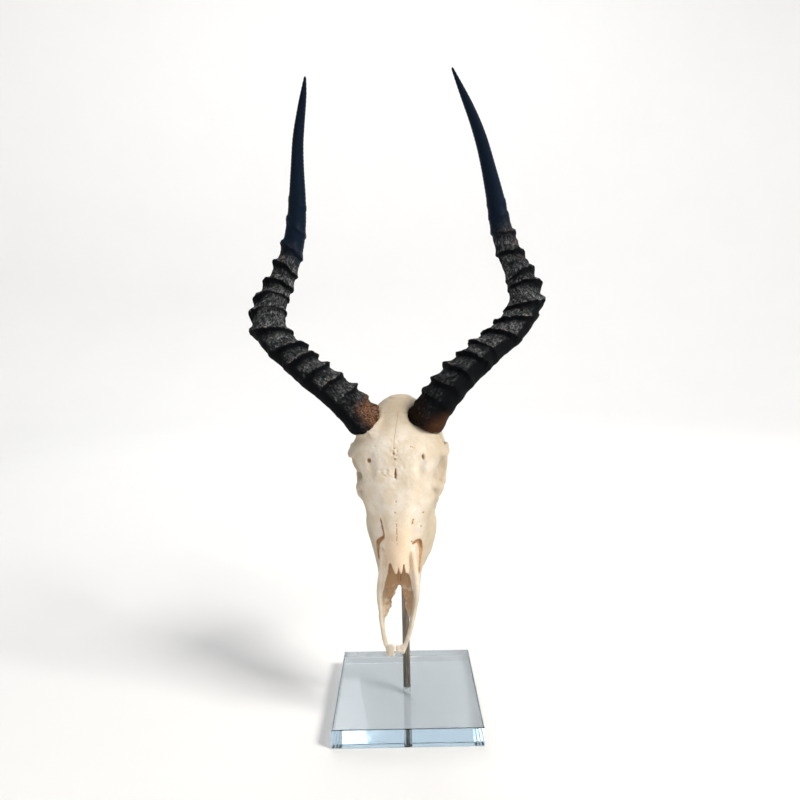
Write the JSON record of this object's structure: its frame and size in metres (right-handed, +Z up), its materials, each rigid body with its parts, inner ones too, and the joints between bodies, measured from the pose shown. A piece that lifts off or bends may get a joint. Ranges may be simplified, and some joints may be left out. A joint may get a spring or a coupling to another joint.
{
  "type": "mounted impala skull",
  "caption": "Long horned antelope skull without its lower jaw, held nose down on an upright rod that stands in a square block of clear acrylic.",
  "frame": {"origin": "centre of the slab's flat underside", "axes": "+Z up along the rod to the horns; the face looks along -Y; +X is to the right of a viewer who looks at the face"},
  "size_m": [0.3128, 0.155, 0.6809],
  "materials": {
    "bone": "dry matte bone, stained brown in its hollows",
    "horn_sheath": "rough ringed horn, smooth and satin towards the tip",
    "enamel": "satin tooth enamel",
    "steel": "plain drawn steel, slightly dull",
    "acrylic": "clear polished acrylic"
  },
  "bodies": {
    "root": {"skull": "bone", "horn_left": "horn_sheath", "horn_right": "horn_sheath", "tooth_left_1": "enamel", "tooth_left_2": "enamel", "tooth_left_3": "enamel", "tooth_left_4": "enamel", "tooth_left_5": "enamel", "tooth_left_6": "enamel", "tooth_right_1": "enamel", "tooth_right_2": "enamel", "tooth_right_3": "enamel", "tooth_right_4": "enamel", "tooth_right_5": "enamel", "tooth_right_6": "enamel", "rod": "steel", "base": "acrylic"}
  },
  "joints": []
}
